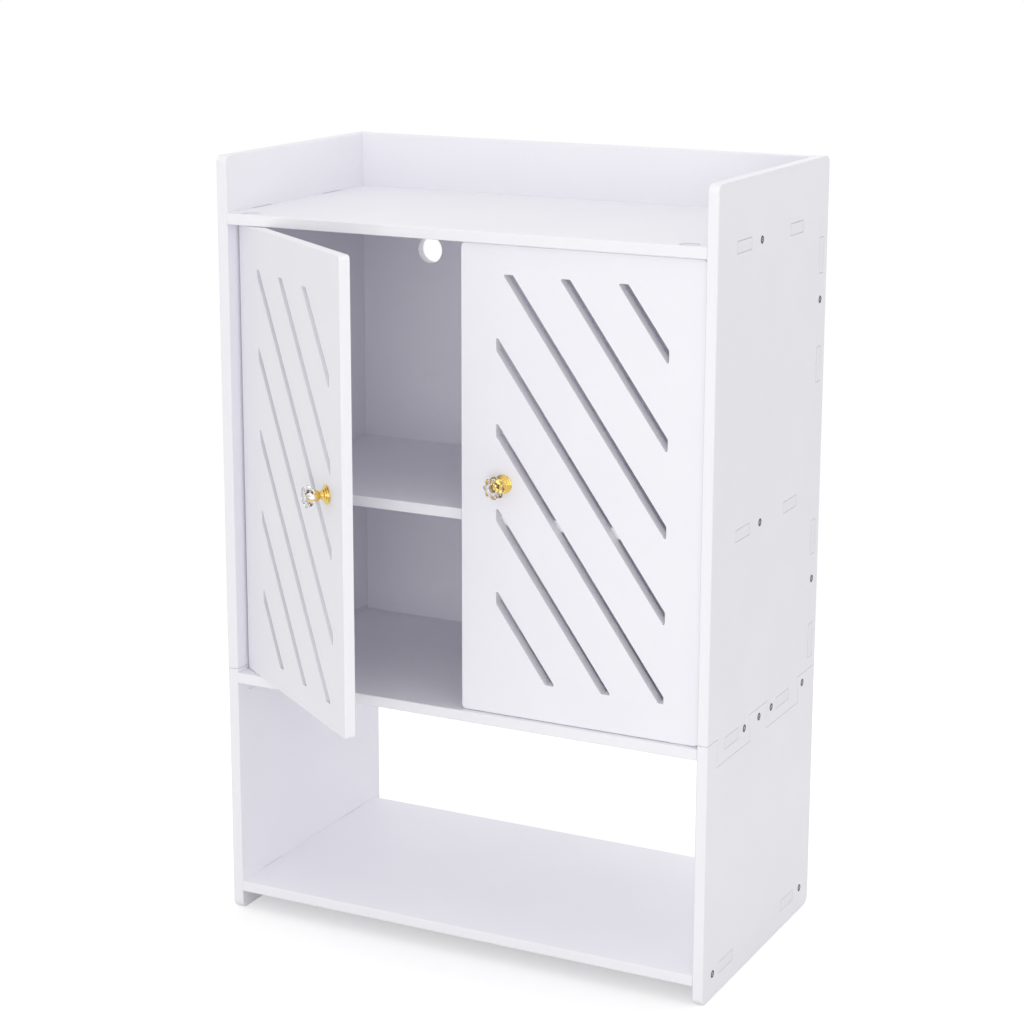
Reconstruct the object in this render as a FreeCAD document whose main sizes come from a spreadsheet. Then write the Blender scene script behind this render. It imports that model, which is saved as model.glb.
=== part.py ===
import FreeCAD, Part
import os
import re
import Sketcher

# A wall cabinet of white foam board: side walls in two halves joined by dovetails, four boards
# tabbed through them, a recessed back with hang holes, and two slotted doors on pivot pins.
# Frame: +X right, +Y towards the wall, +Z up. The origin is midway between the hang holes, on
# the rear face of the back panel. Sizes are millimetres: heights from the feet, depths from the
# front edge of the side walls.

SIZES = {
    # carcass
    "width": 480, "depth": 260, "height": 712, "board": 10,
    "corner_radius": 7, "soft_edge": 1, "eased_edge": 0.7, "fit_gap": 0.3,
    # upper faces of the four boards, and their front and rear edges where these differ
    "top_face": 661, "shelf_face": 413.5, "floor_face": 233.5, "base_face": 27.5,
    "shelf_front": 15.5, "back_front": 240, "base_rear": 250,
    # cut-aways in the shelf's front corners, where the hinge ends of the doors swing in
    "notch_width": 38, "notch_depth": 14,
    # hang holes in the back
    "hang_height": 603, "hang_spacing": 312, "hang_radius": 13,
    # dovetail seam between the halves of a side wall: two tails point down into the lower half
    "seam_low": 212.5, "seam_high": 237.5, "tail_flare": 3.5,
    "tail_one_front": 23, "tail_one_rear": 95, "tail_two_front": 140, "tail_two_rear": 214,
    # tabs, by the depth or height of their middles
    "tab_length": 32,
    "top_tab_one": 58, "top_tab_two": 181, "shelf_tab_one": 69, "shelf_tab_two": 182,
    "floor_tab_one": 55, "floor_tab_two": 177, "base_tab_one": 52, "base_tab_two": 203,
    "back_tab_one": 265, "back_tab_two": 364, "back_tab_three": 525, "back_tab_four": 624,
    # countersunk screws, by depth along a board or height along the back
    "top_screw": 98, "shelf_screw": 109,
    "floor_screw_one": 84, "floor_screw_two": 119, "floor_screw_three": 149, "floor_screw_four": 228,
    "base_screw_one": 22, "base_screw_two": 236.6, "back_screw_one": 324, "back_screw_two": 584,
    "screw_radius": 1.5, "screw_head_radius": 3.4, "screw_head_depth": 1.9, "screw_length": 30,
    "screw_point": 4, "screw_hole": 3.6, "screw_sink": 7.4, "pilot_gap": 0.1, "pilot_extra": 1,
    # pivots
    "pivot_spread": 211, "pivot_depth": 10,
    "bush_head": 8.4, "bush_head_depth": 3, "bush_head_gap": 0.3, "bush_sink": 0.8,
    "bush_neck": 6, "bush_neck_gap": 0.1, "bush_collar": 0.4, "bush_floor": 1.6,
    "pin_radius": 2.5, "pin_running_gap": 0.05, "pin_grip": 18, "pin_reach": 7,
    # doors
    "door_gap": 0.5, "door_meeting_gap": 2.5, "door_hinge_end": 18, "door_corner": 4,
    "door_open_angle": 36,
    # the slots fill a window, placed from the left and bottom edges of its door
    "window_width": 160, "window_rise": 357.5,
    "window_margin_left": 42, "window_bottom_left": 23,
    "window_margin_right": 34, "window_bottom_right": 33.5,
    "slot_first": 6.3, "slot_pitch": 53.4, "slot_width": 9.5, "slot_slope": 1.4, "slot_corner": 1.2,
    # knobs: radii, and distances out from the door's front
    "knob_height": 208.9, "knob_inset_left": 33, "knob_inset_right": 41,
    "bolt_radius": 2, "bolt_gap": 0.2, "bolt_head": 4.2, "bolt_head_depth": 2.6, "bolt_reach": 14,
    "rosette_radius": 8.4, "rosette_rim": 1,
    "rosette_ring": 1.6, "rosette_rise": 1.3, "rosette_ridge": 0.7,
    "waist_radius": 3, "waist_start": 5, "ferrule_start": 6.4, "ferrule_bowl": 9,
    "ferrule_radius": 5.6, "ferrule_end": 12.5,
    "insert_radius": 3.3, "insert_end": 17.4, "insert_wall": 2.6, "insert_gap": 0.1,
    "crystal_radius": 10.2, "crystal_shoulder": 14, "crystal_girdle": 16,
    "crystal_crown": 18.4, "crystal_table": 21, "crystal_front": 22.4,
    "crystal_shoulder_radius": 8.8, "crystal_table_radius": 7.6, "crystal_front_radius": 4.8,
    "flute_radius": 2.8, "flute_bite": 1.5,
}
SLOT_BANDS = (2, 1, 0, -1, -2, -3, -4)    # slots of a door, in pitches from the first
FLUTES = 8                                # flutes between the petals of a crystal
SINK_ANGLE = 90                           # degrees across a screw's countersink
TOUCH = 1e-3                              # lengths closer than this are equal

doc = FreeCAD.newDocument("BathroomCabinet")
sheet = doc.addObject("Spreadsheet::Sheet", "sheet")
pieces = []


def fill_sheet():
    for row, (alias, size) in enumerate(SIZES.items(), start=1):
        sheet.set("A%d" % row, alias)
        sheet.set("B%d" % row, str(size))
        sheet.setAlias("B%d" % row, alias)
    doc.recompute()


def sized(text):
    return re.sub(r"[a-z]\w*", lambda word: "sheet." + word.group(0), text)


def measure(text):
    return float(sheet.evalExpression(text))


def bind(owner, path, text):
    owner.setExpression(path, sized(text))


# Sketches

def new_sketch(body, name, role, shift=("0", "0", "0")):
    sketch = body.newObject("Sketcher::SketchObject", name)
    plane = next(feature for feature in body.Origin.OriginFeatures if feature.Role == role)
    sketch.AttachmentSupport = [(plane, "")]
    sketch.MapMode = "FlatFace"
    for letter, text in zip("xyz", shift):
        bind(sketch, "AttachmentOffset.Base." + letter, text)
    return sketch


def hold(sketch, geometry, point, x, y):
    for kind, axis, text in (("DistanceX", -2, x), ("DistanceY", -1, y)):
        if text == "0":
            sketch.addConstraint(Sketcher.Constraint("PointOnObject", geometry, point, axis))
        else:
            rule = Sketcher.Constraint(kind, -1, 1, geometry, point, measure(text))
            bind(sketch, "Constraints[%d]" % sketch.addConstraint(rule), text)


def outline(sketch, points):
    first = sketch.GeometryCount
    spots = [FreeCAD.Vector(measure(x), measure(y), 0) for x, y in points]
    for start, end in zip(spots, spots[1:] + spots[:1]):
        sketch.addGeometry(Part.LineSegment(start, end))
    for index, (x, y) in enumerate(points):
        following = first + (index + 1) % len(points)
        sketch.addConstraint(Sketcher.Constraint("Coincident", first + index, 2, following, 1))
        hold(sketch, first + index, 1, x, y)


def block(sketch, left, right, low, high):
    outline(sketch, [(left, low), (right, low), (right, high), (left, high)])


def circle(sketch, x, y, radius):
    centre = FreeCAD.Vector(measure(x), measure(y), 0)
    ring = sketch.addGeometry(Part.Circle(centre, FreeCAD.Vector(0, 0, 1), measure(radius)))
    hold(sketch, ring, 3, x, y)
    rule = Sketcher.Constraint("Radius", ring, measure(radius))
    bind(sketch, "Constraints[%d]" % sketch.addConstraint(rule), radius)


# Features

def pad(body, sketch, length, towards_rear=False):
    feature = body.newObject("PartDesign::Pad", "Pad")
    feature.Profile = sketch
    feature.Reversed = towards_rear
    bind(feature, "Length", length)
    doc.recompute()
    return feature


def turn(body, sketch):
    feature = body.newObject("PartDesign::Revolution", "Turn")
    feature.Profile = sketch
    feature.ReferenceAxis = (sketch, ["V_Axis"])
    feature.Angle = 360
    doc.recompute()
    return feature


def cut_through(body, sketch):
    before = body.Shape.Volume
    feature = body.newObject("PartDesign::Pocket", "Mortises")
    feature.Profile = sketch
    feature.Type = "ThroughAll"
    feature.Reversed = True
    doc.recompute()
    if body.Shape.Volume >= before:
        raise ValueError(body.Label + ": a pocket cut nothing")


def drill(body, spot, axis, radius, depth):
    before = body.Shape.Volume
    feature = body.newObject("PartDesign::SubtractiveCylinder", "Bore")
    feature.Placement.Rotation = FreeCAD.Rotation(FreeCAD.Vector(0, 0, 1), FreeCAD.Vector(*axis))
    for letter, text in zip("xyz", spot):
        bind(feature, "Placement.Base." + letter, text)
    bind(feature, "Radius", radius)
    bind(feature, "Height", depth)
    doc.recompute()
    if body.Shape.Volume >= before:
        raise ValueError(body.Label + ": a bore cut nothing")
    return feature


def dress_edges(body, kind, size_name, size, chosen):
    base = body.Tip
    names = ["Edge%d" % number for number, edge in enumerate(base.Shape.Edges, start=1) if chosen(edge)]
    feature = body.newObject("PartDesign::" + kind, kind)
    feature.Base = (base, names)
    bind(feature, size_name, size)
    doc.recompute()


def soften(body, radius, chosen):
    dress_edges(body, "Fillet", "Radius", radius, chosen)


def ease(body, size, chosen):
    dress_edges(body, "Chamfer", "Size", size, chosen)


def along(edge, letter):
    box = edge.BoundBox
    lengths = {"x": box.XLength, "y": box.YLength, "z": box.ZLength}
    return lengths.pop(letter) > TOUCH and max(lengths.values()) < TOUCH


def near(number, text):
    return abs(number - measure(text)) < TOUCH


def place(piece, label, spot, angle=None):
    piece.Label = label
    origin = ("0", "back_front + board", "hang_height")
    for letter, text, zero in zip("xyz", spot, origin):
        bind(piece, "Placement.Base." + letter, "%s - (%s)" % (text, zero))
    if angle:
        piece.Placement.Rotation = FreeCAD.Rotation(FreeCAD.Vector(0, 0, 1), measure(angle))
        bind(piece, "Placement.Rotation.Angle", angle)
    pieces.append(piece)


def new_body(name):
    return doc.addObject("PartDesign::Body", name)


# Side walls

def upper_half_outline():
    return [("0", "height"), ("0", "seam_high"),
            ("tail_one_front", "seam_high"), ("tail_one_front - tail_flare", "seam_low"),
            ("tail_one_rear + tail_flare", "seam_low"), ("tail_one_rear", "seam_high"),
            ("tail_two_front", "seam_high"), ("tail_two_front - tail_flare", "seam_low"),
            ("tail_two_rear + tail_flare", "seam_low"), ("tail_two_rear", "seam_high"),
            ("depth", "seam_high"), ("depth", "height")]


def lower_half_outline():
    low = "seam_low - fit_gap"
    high = "seam_high - fit_gap"
    return [("0", "0"), ("0", high),
            ("tail_one_front - fit_gap", high), ("tail_one_front - tail_flare - fit_gap", low),
            ("tail_one_rear + tail_flare + fit_gap", low), ("tail_one_rear + fit_gap", high),
            ("tail_two_front - fit_gap", high), ("tail_two_front - tail_flare - fit_gap", low),
            ("tail_two_rear + tail_flare + fit_gap", low), ("tail_two_rear + fit_gap", high),
            ("depth", high), ("depth", "0")]


def board_mortise(sketch, board, tab):
    middle = "%s_tab_%s" % (board, tab)
    reach = "(tab_length / 2 + fit_gap)"
    block(sketch, "%s - %s" % (middle, reach), "%s + %s" % (middle, reach),
          "%s_face - board - fit_gap" % board, "%s_face + fit_gap" % board)


def back_mortise(sketch, tab):
    reach = "(tab_length / 2 + fit_gap)"
    block(sketch, "back_front - fit_gap", "back_front + board + fit_gap",
          "back_tab_%s - %s" % (tab, reach), "back_tab_%s + %s" % (tab, reach))


def screw_spots(half):
    floor = "floor_face - board / 2"
    base = "base_face - board / 2"
    back = "back_front + board / 2"
    if half == "upper":
        return [("top_screw", "top_face - board / 2"), ("shelf_screw", "shelf_face - board / 2"),
                ("floor_screw_one", floor), ("floor_screw_three", floor),
                (back, "back_screw_one"), (back, "back_screw_two")]
    return [("floor_screw_two", floor), ("floor_screw_four", floor),
            ("base_screw_one", base), ("base_screw_two", base)]


def countersink(body, half, side):
    outer_face = "board" if side == "right" else "0"
    sketch = new_sketch(body, "ScrewSpots", "YZ_Plane", ("0", "0", outer_face))
    for depth, height in screw_spots(half):
        circle(sketch, depth, height, "screw_radius")
    doc.recompute()
    hole = body.newObject("PartDesign::Hole", "ScrewHoles")
    hole.Profile = sketch
    doc.recompute()
    hole.Threaded = False
    hole.DepthType = "ThroughAll"
    hole.Reversed = side == "left"
    hole.HoleCutType = "Countersink"
    hole.HoleCutCustomValues = True
    hole.HoleCutCountersinkAngle = SINK_ANGLE
    bind(hole, "Diameter", "screw_hole")
    bind(hole, "HoleCutDiameter", "screw_sink")
    doc.recompute()


def side_wall(side, half):
    body = new_body("SideWall")
    sketch = new_sketch(body, "Outline", "YZ_Plane")
    outline(sketch, upper_half_outline() if half == "upper" else lower_half_outline())
    pad(body, sketch, "board")
    end = "height" if half == "upper" else "0"
    soften(body, "corner_radius", lambda e: along(e, "x") and near(e.BoundBox.ZMin, end))

    def clear_of_seam(box):
        if half == "upper":
            return box.ZMax > measure("seam_high") + TOUCH
        return box.ZMin < measure("seam_low - fit_gap") - TOUCH

    ease(body, "eased_edge", lambda e: e.BoundBox.XLength < TOUCH and clear_of_seam(e.BoundBox))
    mortises = new_sketch(body, "MortiseSketch", "YZ_Plane")
    for board in ("top", "shelf", "floor") if half == "upper" else ("base",):
        board_mortise(mortises, board, "one")
        board_mortise(mortises, board, "two")
    for tab in ("one", "two", "three", "four") if half == "upper" else ():
        back_mortise(mortises, tab)
    cut_through(body, mortises)
    countersink(body, half, side)
    inner_edge = "width / 2 - board" if side == "right" else "-width / 2"
    place(body, "side_%s_%s" % (half, side), (inner_edge, "0", "0"))


# Boards

def tabbed_outline(front, rear, tabs, notch=False):
    right = [(x, "%s %s tab_length / 2" % (tab, sign)) for tab in tabs
             for x, sign in (("width - board", "-"), ("width", "-"), ("width", "+"), ("width - board", "+"))]
    left = [(x, "%s %s tab_length / 2" % (tab, sign)) for tab in reversed(tabs)
            for x, sign in (("board", "+"), ("0", "+"), ("0", "-"), ("board", "-"))]
    face = [("board", front), ("width - board", front)]
    if notch:
        sunk = front + " + notch_depth"
        face = [("board", sunk), ("board + notch_width", sunk), ("board + notch_width", front),
                ("width - board - notch_width", front), ("width - board - notch_width", sunk),
                ("width - board", sunk)]
    return face + right + [("width - board", rear), ("board", rear)] + left


def pilot_holes(body, spots):
    for y, z in spots:
        for x in ("0", "width - screw_length - pilot_extra"):
            drill(body, (x, y, z), (1, 0, 0), "screw_radius + pilot_gap", "screw_length + pilot_extra")


def pivot_seats(body, head_at_top):
    for sign in "-+":
        x = "width / 2 %s pivot_spread" % sign
        drill(body, (x, "pivot_depth", "0"), (0, 0, 1), "bush_neck + bush_neck_gap", "board")
        z = "board - bush_head_depth" if head_at_top else "0"
        drill(body, (x, "pivot_depth", z), (0, 0, 1), "bush_head + bush_head_gap", "bush_head_depth")


def board(name, front, rear, screws):
    body = new_body("Board")
    sketch = new_sketch(body, "Outline", "XY_Plane")
    tabs = ["%s_tab_one" % name, "%s_tab_two" % name]
    outline(sketch, tabbed_outline(front, rear, tabs, notch=name == "shelf"))
    pad(body, sketch, "board")
    soften(body, "soft_edge", lambda e: along(e, "x") and near(e.BoundBox.YMin, front))
    if name in ("top", "floor"):
        pivot_seats(body, head_at_top=name == "top")
    pilot_holes(body, [(screw, "board / 2") for screw in screws])
    label = {"top": "top_board", "shelf": "middle_shelf", "floor": "cabinet_floor", "base": "bottom_shelf"}
    place(body, label[name], ("-width / 2", "0", "%s_face - board" % name))


def back_panel():
    body = new_body("Back")
    sketch = new_sketch(body, "Outline", "XZ_Plane")
    tabs = ["back_tab_one", "back_tab_two", "back_tab_three", "back_tab_four"]
    outline(sketch, tabbed_outline("floor_face - board", "height", tabs))
    for sign in "-+":
        circle(sketch, "width / 2 %s hang_spacing / 2" % sign, "hang_height", "hang_radius")
    pad(body, sketch, "board", towards_rear=True)
    soften(body, "soft_edge", lambda e: along(e, "x") and near(e.BoundBox.ZMax, "height"))
    pilot_holes(body, [("board / 2", "back_screw_one"), ("board / 2", "back_screw_two")])
    place(body, "back_panel", ("-width / 2", "back_front", "0"))


# Fasteners of the carcass

def panel_screws():
    body = new_body("Screw")
    sketch = new_sketch(body, "Profile", "XY_Plane")
    outline(sketch, [("0", "0"), ("screw_head_radius", "0"), ("screw_radius", "screw_head_depth"),
                     ("screw_radius", "screw_length - screw_point"), ("0", "screw_length")])
    turn(body, sketch)
    inward = {"left": FreeCAD.Rotation(FreeCAD.Vector(0, 1, 0), FreeCAD.Vector(1, 0, 0)),
              "right": FreeCAD.Rotation(FreeCAD.Vector(0, 1, 0), FreeCAD.Vector(-1, 0, 0))}
    solids = []
    for side, rotation in inward.items():
        x = measure("width / 2") if side == "right" else -measure("width / 2")
        for y, z in screw_spots("upper") + screw_spots("lower"):
            spot = FreeCAD.Vector(x, measure(y), measure(z))
            screw = body.Shape.copy()
            screw.Placement = FreeCAD.Placement(spot, rotation)
            solids.append(screw)
    group = doc.addObject("Part::Feature", "PanelScrews")
    group.Shape = Part.makeCompound(solids)
    place(group, "panel_screws", ("0", "0", "0"))


def pivot_bush(end, side):
    body = new_body("Bush")
    collar = "0" if end == "top" else "-bush_collar"
    bore = "pin_radius + pin_running_gap"
    head = "board - bush_sink"
    sketch = new_sketch(body, "Profile", "XZ_Plane")
    outline(sketch, [("0", head), ("bush_head", head), ("bush_head", "board - bush_head_depth"),
                     ("bush_neck", "board - bush_head_depth"), ("bush_neck", collar), (bore, collar),
                     (bore, head + " - bush_floor"), ("0", head + " - bush_floor")])
    turn(body, sketch)
    x = "pivot_spread" if side == "right" else "-pivot_spread"
    if end == "top":
        place(body, "pivot_bush_top_" + side, (x, "pivot_depth", "top_face - board"))
    else:
        body.Placement.Rotation = FreeCAD.Rotation(FreeCAD.Vector(1, 0, 0), 180)
        place(body, "pivot_bush_bottom_" + side, (x, "pivot_depth", "floor_face"))


# Doors, modelled about their own pivot axis, from the bottom edge up

DOOR_HEIGHT = "(top_face - board - floor_face - 2 * door_gap)"
DOOR_REACH = "(pivot_spread - door_meeting_gap)"


def place_on_pivot(piece, label, side):
    x = "pivot_spread" if side == "right" else "-pivot_spread"
    angle = "-door_open_angle" if side == "left" else None
    place(piece, label, (x, "pivot_depth", "floor_face + door_gap"), angle)


def slot_points(band):
    lines = ["(slot_first + %d * slot_pitch)" % band, "(slot_first + %d * slot_pitch + slot_width)" % band]
    starts = []
    ends = []
    for line in lines:
        if measure(line) > 0:
            starts.append((line, "0"))
        else:
            starts.append(("0", "-%s * slot_slope" % line))
        drop = "(window_width - %s) * slot_slope" % line
        if measure(drop) < measure("window_rise"):
            ends.append(("window_width", drop))
        else:
            ends.append(("%s + window_rise / slot_slope" % line, "window_rise"))
    corner = [("window_width", "window_rise")]
    shared_edge = ends[0][0] == ends[1][0] or ends[0][1] == ends[1][1]
    return [starts[0], ends[0]] + ([] if shared_edge else corner) + [ends[1], starts[1]]


def slots(sketch, side, window_left):
    # the left door's slots are the right one's turned half round, counted from the other corner
    low = "window_bottom_" + side
    for band in SLOT_BANDS:
        if side == "right":
            points = [("%s + %s" % (window_left, across), "%s + window_rise - (%s)" % (low, down))
                      for across, down in slot_points(band)]
        else:
            points = [("%s + window_width - (%s)" % (window_left, across), "%s + %s" % (low, down))
                      for across, down in slot_points(band)]
        outline(sketch, points)


def knob_across(side):
    return DOOR_REACH + " - knob_inset_left" if side == "left" else "knob_inset_right - " + DOOR_REACH


def door(side):
    left, right = ("-door_hinge_end", DOOR_REACH) if side == "left" else ("-" + DOOR_REACH, "door_hinge_end")
    body = new_body("Door")
    sketch = new_sketch(body, "Outline", "XZ_Plane", ("0", "0", "board / 2"))
    block(sketch, left, right, "0", DOOR_HEIGHT)
    window = "%s + window_margin_%s" % (left, side)
    slots(sketch, side, window)
    pad(body, sketch, "board", towards_rear=True)

    def at_side(edge):
        return near(edge.BoundBox.XMin, left) or near(edge.BoundBox.XMax, right)

    window_left = measure(window)
    window_right = measure(window + " + window_width")

    def in_window(edge):
        return edge.BoundBox.XMin > window_left - TOUCH and edge.BoundBox.XMax < window_right + TOUCH

    soften(body, "door_corner", lambda e: along(e, "y") and at_side(e))
    soften(body, "slot_corner", lambda e: along(e, "y") and in_window(e))
    ease(body, "eased_edge", lambda e: e.BoundBox.YLength < TOUCH and not in_window(e))
    bolt_hole = (knob_across(side), "-board", "knob_height")
    drill(body, bolt_hole, (0, 1, 0), "bolt_radius + bolt_gap", "2 * board")
    grip = "pin_radius + pin_running_gap"
    drill(body, ("0", "0", "0"), (0, 0, 1), grip, "pin_grip")
    drill(body, ("0", "0", DOOR_HEIGHT + " - pin_grip"), (0, 0, 1), grip, "pin_grip")
    place_on_pivot(body, "door_" + side, side)


def door_pins(side):
    pins = []
    starts = {"Bottom": "-door_gap - pin_reach", "Top": DOOR_HEIGHT + " - pin_grip"}
    for end, start in starts.items():
        pin = doc.addObject("Part::Cylinder", end + "Pin")
        bind(pin, "Radius", "pin_radius")
        bind(pin, "Height", "pin_grip + door_gap + pin_reach")
        bind(pin, "Placement.Base.z", start)
        pins.append(pin)
    group = doc.addObject("Part::Compound", "DoorPins")
    group.Links = pins
    place_on_pivot(group, "pivot_pins_" + side, side)


# Knobs, turned about an axis square to the door, with distances out from its front as minus Y

def turned_piece(name, side, profile):
    body = new_body(name)
    sketch = new_sketch(body, "Profile", "XY_Plane", (knob_across(side), "-board / 2", "knob_height"))
    outline(sketch, profile)
    turn(body, sketch)
    return body, sketch


def knob_rosette(side):
    bore = "bolt_radius + bolt_gap"
    profile = [(bore, "0"), ("rosette_radius", "0"), ("rosette_radius", "-rosette_rim")]
    for ring in (1, 2):
        radius = "rosette_radius - %d * rosette_ring" % ring
        profile.append((radius, "-rosette_rim - %d * rosette_rise + rosette_ridge" % ring))
        profile.append((radius, "-rosette_rim - %d * rosette_rise" % ring))
    profile += [("waist_radius", "-waist_start"), ("waist_radius", "-ferrule_start")]
    profile.append((bore, "-ferrule_start"))
    body, _ = turned_piece("Rosette", side, profile)
    place_on_pivot(body, "knob_rosette_" + side, side)


def knob_ferrule(side):
    bore = "bolt_radius + bolt_gap"
    bore_end = "insert_wall - insert_end"
    body, _ = turned_piece("Ferrule", side, [
        ("0", bore_end), (bore, bore_end), (bore, "-ferrule_start"), ("waist_radius", "-ferrule_start"),
        ("ferrule_radius", "-ferrule_bowl"), ("ferrule_radius", "-ferrule_end"),
        ("insert_radius", "-ferrule_end"), ("insert_radius", "-insert_end"), ("0", "-insert_end")])
    place_on_pivot(body, "knob_ferrule_" + side, side)


def knob_crystal(side):
    socket = "insert_radius + insert_gap"
    socket_end = "-insert_end - insert_gap"
    seat = "-ferrule_end - insert_gap"
    body, sketch = turned_piece("Crystal", side, [
        ("0", socket_end), (socket, socket_end), (socket, seat),
        ("ferrule_radius", seat), ("crystal_shoulder_radius", "-crystal_shoulder"),
        ("crystal_radius", "-crystal_girdle"), ("crystal_radius", "-crystal_crown"),
        ("crystal_table_radius", "-crystal_table"), ("crystal_front_radius", "-crystal_front"),
        ("0", "-crystal_front")])
    out = "crystal_radius + flute_radius - flute_bite"
    spot = ("%s + %s" % (knob_across(side), out), "-board / 2 - crystal_front", "knob_height")
    flute = drill(body, spot, (0, 1, 0), "flute_radius", "crystal_front - ferrule_end - insert_gap")
    ring = body.newObject("PartDesign::PolarPattern", "Flutes")
    ring.Originals = [flute]
    ring.Axis = (sketch, ["V_Axis"])
    ring.Angle = 360
    ring.Occurrences = FLUTES
    body.Tip = ring
    doc.recompute()
    place_on_pivot(body, "knob_crystal_" + side, side)


def knob_bolt(side):
    body, _ = turned_piece("Bolt", side, [
        ("0", "board + bolt_head_depth"), ("bolt_head", "board + bolt_head_depth"), ("bolt_head", "board"),
        ("bolt_radius", "board"), ("bolt_radius", "-bolt_reach"), ("0", "-bolt_reach")])
    place_on_pivot(body, "knob_bolt_" + side, side)


def build():
    fill_sheet()
    for side in ("left", "right"):
        side_wall(side, "upper")
        side_wall(side, "lower")
    board("top", "0", "back_front", ["top_screw"])
    board("shelf", "shelf_front", "back_front", ["shelf_screw"])
    floor_screws = ["floor_screw_one", "floor_screw_two", "floor_screw_three", "floor_screw_four"]
    board("floor", "0", "back_front", floor_screws)
    board("base", "0", "base_rear", ["base_screw_one", "base_screw_two"])
    back_panel()
    panel_screws()
    for side in ("left", "right"):
        pivot_bush("top", side)
        pivot_bush("bottom", side)
        door(side)
        door_pins(side)
        knob_rosette(side)
        knob_ferrule(side)
        knob_crystal(side)
        knob_bolt(side)
    doc.recompute()


def check_and_write():
    for item in doc.Objects:
        if "Invalid" in item.State or "Error" in item.State:
            raise ValueError("%s failed: %s" % (item.Label, item.State))
    for piece in pieces:
        if piece.Shape.isNull() or not piece.Shape.isValid():
            raise ValueError(piece.Label + " has no valid shape")
    os.makedirs("parts", exist_ok=True)
    for piece in pieces:
        piece.Shape.exportStep("parts/%s.step" % piece.Label)
        box = piece.Shape.BoundBox
        print("%-24s %d solids, %.0f x %.0f x %.0f mm" % (
            piece.Label, len(piece.Shape.Solids), box.XLength, box.YLength, box.ZLength))


build()
check_and_write()
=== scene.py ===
import math
import bmesh
import bpy
from mathutils import Matrix, Vector


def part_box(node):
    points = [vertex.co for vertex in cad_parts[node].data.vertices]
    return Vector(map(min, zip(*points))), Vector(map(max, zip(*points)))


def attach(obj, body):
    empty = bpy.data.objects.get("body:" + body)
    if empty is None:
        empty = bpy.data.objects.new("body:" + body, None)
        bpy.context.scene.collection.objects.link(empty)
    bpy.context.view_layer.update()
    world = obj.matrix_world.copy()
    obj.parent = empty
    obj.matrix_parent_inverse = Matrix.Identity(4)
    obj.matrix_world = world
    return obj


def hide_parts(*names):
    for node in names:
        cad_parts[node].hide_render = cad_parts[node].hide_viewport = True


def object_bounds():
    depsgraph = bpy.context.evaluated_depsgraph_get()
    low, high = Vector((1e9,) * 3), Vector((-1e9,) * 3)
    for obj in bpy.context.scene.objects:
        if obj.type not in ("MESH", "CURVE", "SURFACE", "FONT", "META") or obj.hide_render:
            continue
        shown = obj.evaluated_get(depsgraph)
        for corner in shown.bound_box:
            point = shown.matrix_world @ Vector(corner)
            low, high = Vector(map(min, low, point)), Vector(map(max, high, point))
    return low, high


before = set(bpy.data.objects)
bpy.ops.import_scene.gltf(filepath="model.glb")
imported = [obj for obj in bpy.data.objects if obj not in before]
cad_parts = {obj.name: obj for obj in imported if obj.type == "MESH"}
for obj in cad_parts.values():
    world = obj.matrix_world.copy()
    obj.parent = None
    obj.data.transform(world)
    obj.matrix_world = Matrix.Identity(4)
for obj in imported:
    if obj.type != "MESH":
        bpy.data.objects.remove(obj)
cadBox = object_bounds()
mm = 0.001
print("frame loaded with", len(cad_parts), "nodes")


def hexColour(text):
    channels = [int(text[i:i + 2], 16) / 255 for i in (1, 3, 5)]
    return [c / 12.92 if c <= 0.04045 else ((c + 0.055) / 1.055) ** 2.4 for c in channels] + [1.0]


def addNode(tree, kind, settings=None, values=None, links=None):
    node = tree.nodes.new(kind)
    for name, value in (settings or {}).items():
        setattr(node, name, value)
    for socket, value in (values or {}).items():
        node.inputs[socket].default_value = value
    for socket, source in (links or {}).items():
        tree.links.new(source, node.inputs[socket])
    return node


def newMaterial(name):
    material = bpy.data.materials.new(name)
    material.use_nodes = True
    return material, material.node_tree, material.node_tree.nodes["Principled BSDF"]


# Materials

foamBoard = {
    "skin": "#EFEEF3", "skinCloud": "#EBEAF0", "cutEdge": "#EEEDF1",
    "paintedSlotShade": "#DFDEE4", "rimMm": 10,    # painted shade: the left door's slot walls are coloured greyer than its outer edges
    "cloudMm": 70, "peelMm": 2.4, "cellMm": 0.7, "cutterMm": 1.3,
    "faceOn": 0.95, "edgeOn": 0.75,    # how squarely a skin points out of its board, down to a cut edge
    "softMm": 0.6, "softSamples": 4, "bump": 0.12, "bumpMm": 0.15,
    "roughness": (0.36, 0.46), "edgeRoughness": 0.62, "ior": 1.48,
}


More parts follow.
